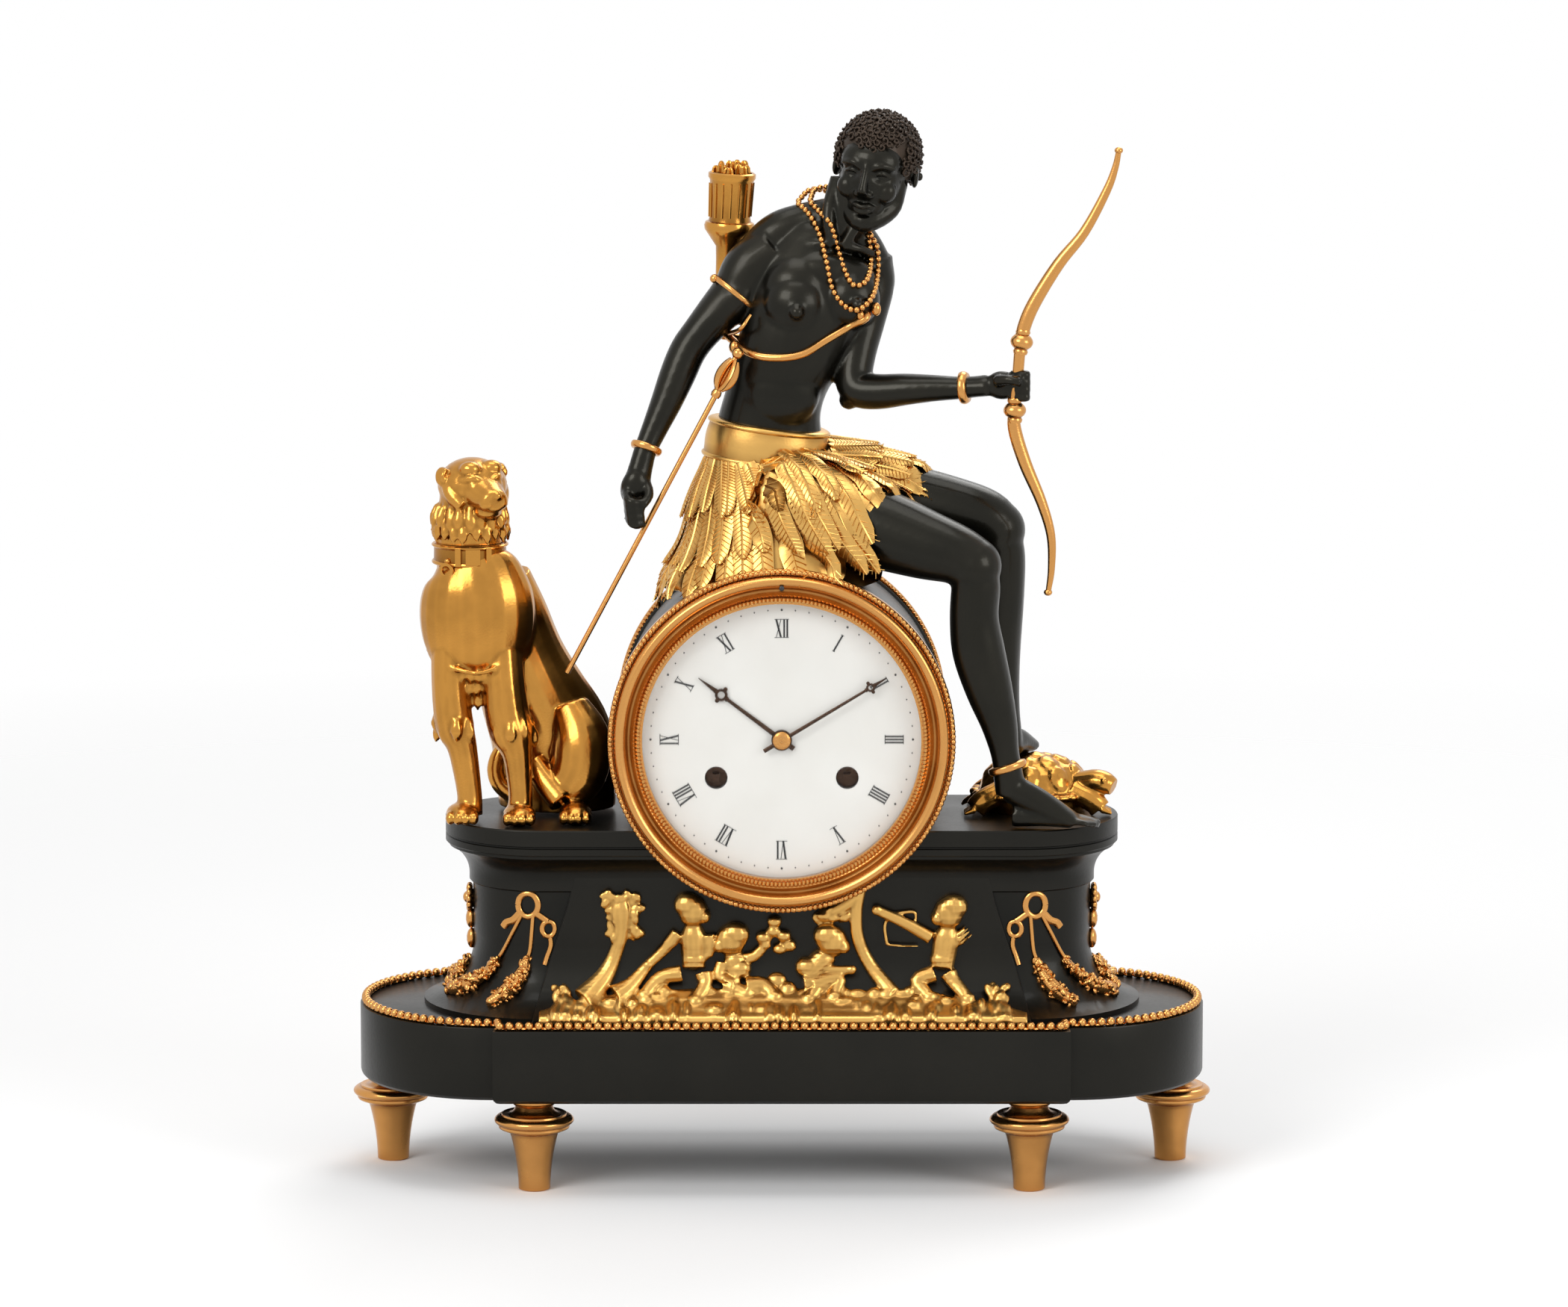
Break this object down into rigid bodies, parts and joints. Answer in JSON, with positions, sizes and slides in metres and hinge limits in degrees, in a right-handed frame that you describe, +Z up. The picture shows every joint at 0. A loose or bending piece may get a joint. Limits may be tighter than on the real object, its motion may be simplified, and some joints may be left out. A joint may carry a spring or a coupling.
{
  "type": "figural clock",
  "caption": "Mantel clock: a dark bronze huntress seated on a drum dial between a gilt lioness and a tortoise, on a waisted base with turned feet.",
  "frame": {"origin": "centre of the bounding box, on the table under the feet", "axes": "+Z up, -Y towards the viewer of the dial, +X to that viewer's right"},
  "size_m": [0.383, 0.137, 0.4719],
  "materials": {
    "patinated_bronze": "dark green-brown patina, satin",
    "gilt_bronze": "matte fire gilding",
    "burnished_gilt": "burnished fire gilding",
    "bell_metal": "turned bright",
    "clock_brass": "brushed",
    "steel": "polished",
    "blued_steel": "dark blued",
    "enamel": "glossy white enamel",
    "clear_glass": "clear"
  },
  "bodies": {
    "case": {"arrow": "burnished_gilt", "back_plate": "clock_brass", "bead_rail": "burnished_gilt", "bell": "bell_metal", "bell_stand": "steel", "belt": "gilt_bronze", "bow": "burnished_gilt", "bracelets": "gilt_bronze", "clicks": "steel", "dial": "enamel", "dial_mount": "clock_brass", "drum_case": "patinated_bronze", "feather_skirt": "gilt_bronze", "feet": "burnished_gilt", "figure_far_leg": "patinated_bronze", "figure_head": "patinated_bronze", "figure_hips": "patinated_bronze", "figure_left_arm": "patinated_bronze", "figure_near_leg": "patinated_bronze", "figure_right_arm": "patinated_bronze", "figure_torso": "patinated_bronze", "frieze": "gilt_bronze", "front_plate": "clock_brass", "garlands": "gilt_bronze", "hinge_pins": "steel", "lioness": "burnished_gilt", "lioness_collar": "gilt_bronze", "movement_straps": "clock_brass", "necklace": "gilt_bronze", "pedestal": "patinated_bronze", "plate_pillars": "clock_brass", "plinth": "patinated_bronze", "quiver": "gilt_bronze", "quiver_cord": "gilt_bronze", "suspension_cock": "clock_brass", "tie_nut": "patinated_bronze", "tie_rod": "steel", "tortoise": "gilt_bronze"},
    "bezel": {"front_bezel": "burnished_gilt", "dial_glass": "clear_glass"},
    "rear_door": {"back_door": "burnished_gilt"},
    "minute_work": {"centre_wheel": "clock_brass", "minute_hand": "blued_steel", "hand_collet": "burnished_gilt"},
    "hour_work": {"hour_wheel": "clock_brass", "hour_hand": "blued_steel"},
    "motion_wheel": {"minute_wheel": "clock_brass"},
    "second_arbor": {"second_wheel": "clock_brass"},
    "third_arbor": {"third_wheel": "clock_brass"},
    "escape_arbor": {"escape_wheel": "clock_brass"},
    "going_drum": {"going_barrel": "clock_brass"},
    "going_winder": {"going_winding_arbor": "steel"},
    "strike_drum": {"strike_barrel": "clock_brass"},
    "strike_winder": {"strike_winding_arbor": "steel"},
    "count_disc": {"count_wheel": "clock_brass"},
    "pin_arbor": {"pin_wheel": "clock_brass"},
    "anchor_arbor": {"anchor": "steel", "crutch": "steel"},
    "pendulum_body": {"pendulum": "clock_brass"},
    "hammer_arbor": {"hammer": "steel"}
  },
  "joints": [
    {"name": "bezel_opening", "type": "hinge", "parent": "case", "child": "bezel", "pos_m": [-0.073, -0.0427, 0.2], "axis": [0, 0, 1], "range_deg": [-100, 0]},
    {"name": "rear_door_opening", "type": "hinge", "parent": "case", "child": "rear_door", "pos_m": [0.073, 0.0427, 0.2], "axis": [0, 0, 1], "range_deg": [-110, 0]},
    {"name": "minute_hand_turn", "type": "hinge", "parent": "case", "child": "minute_work", "pos_m": [0, 0, 0.2], "axis": [0, 1, 0], "continuous": true},
    {"name": "hour_hand_turn", "type": "hinge", "parent": "case", "child": "hour_work", "pos_m": [0, 0, 0.2], "axis": [0, 1, 0], "continuous": true},
    {"name": "minute_wheel_turn", "type": "hinge", "parent": "case", "child": "motion_wheel", "pos_m": [-0.0083, 0, 0.2083], "axis": [0, 1, 0], "continuous": true},
    {"name": "second_wheel_turn", "type": "hinge", "parent": "case", "child": "second_arbor", "pos_m": [0.0205, 0, 0.2051], "axis": [0, 1, 0], "continuous": true},
    {"name": "third_wheel_turn", "type": "hinge", "parent": "case", "child": "third_arbor", "pos_m": [-0.0095, 0, 0.2126], "axis": [0, 1, 0], "continuous": true},
    {"name": "escape_wheel_turn", "type": "hinge", "parent": "case", "child": "escape_arbor", "pos_m": [0, 0, 0.218], "axis": [0, 1, 0], "continuous": true},
    {"name": "going_barrel_turn", "type": "hinge", "parent": "case", "child": "going_drum", "pos_m": [0.0287, 0, 0.183], "axis": [0, 1, 0], "continuous": true},
    {"name": "going_winding", "type": "hinge", "parent": "case", "child": "going_winder", "pos_m": [0.0287, 0, 0.183], "axis": [0, 1, 0], "continuous": true},
    {"name": "strike_barrel_turn", "type": "hinge", "parent": "case", "child": "strike_drum", "pos_m": [-0.0287, 0, 0.183], "axis": [0, 1, 0], "continuous": true},
    {"name": "strike_winding", "type": "hinge", "parent": "case", "child": "strike_winder", "pos_m": [-0.0287, 0, 0.183], "axis": [0, 1, 0], "continuous": true},
    {"name": "count_wheel_turn", "type": "hinge", "parent": "case", "child": "count_disc", "pos_m": [-0.0287, 0, 0.183], "axis": [0, 1, 0], "continuous": true},
    {"name": "pin_wheel_turn", "type": "hinge", "parent": "case", "child": "pin_arbor", "pos_m": [-0.033, 0, 0.2062], "axis": [0, 1, 0], "continuous": true},
    {"name": "pendulum_swing", "type": "hinge", "parent": "case", "child": "pendulum_body", "pos_m": [0, 0, 0.236], "axis": [0, 1, 0], "range_deg": [-4, 4]},
    {"name": "anchor_swing", "type": "hinge", "parent": "case", "child": "anchor_arbor", "pos_m": [0, 0, 0.236], "axis": [0, 1, 0], "range_deg": [-4, 4]},
    {"name": "hammer_stroke", "type": "hinge", "parent": "case", "child": "hammer_arbor", "pos_m": [-0.038, 0, 0.216], "axis": [0, 1, 0], "range_deg": [0, 15], "stiffness_Nm_per_rad": 0.02}
  ],
  "couplings": [
    {"joint": "hour_hand_turn", "follows": "minute_hand_turn", "ratio": 0.083333},
    {"joint": "minute_wheel_turn", "follows": "minute_hand_turn", "ratio": -0.33333},
    {"joint": "second_wheel_turn", "follows": "minute_hand_turn", "ratio": -0.15},
    {"joint": "going_barrel_turn", "follows": "minute_hand_turn", "ratio": 0.01875},
    {"joint": "third_wheel_turn", "follows": "minute_hand_turn", "ratio": -6},
    {"joint": "escape_wheel_turn", "follows": "minute_hand_turn", "ratio": 30},
    {"joint": "pin_wheel_turn", "follows": "strike_barrel_turn", "ratio": -8},
    {"joint": "count_wheel_turn", "follows": "strike_barrel_turn", "ratio": 1},
    {"joint": "anchor_swing", "follows": "pendulum_swing", "ratio": 1}
  ]
}
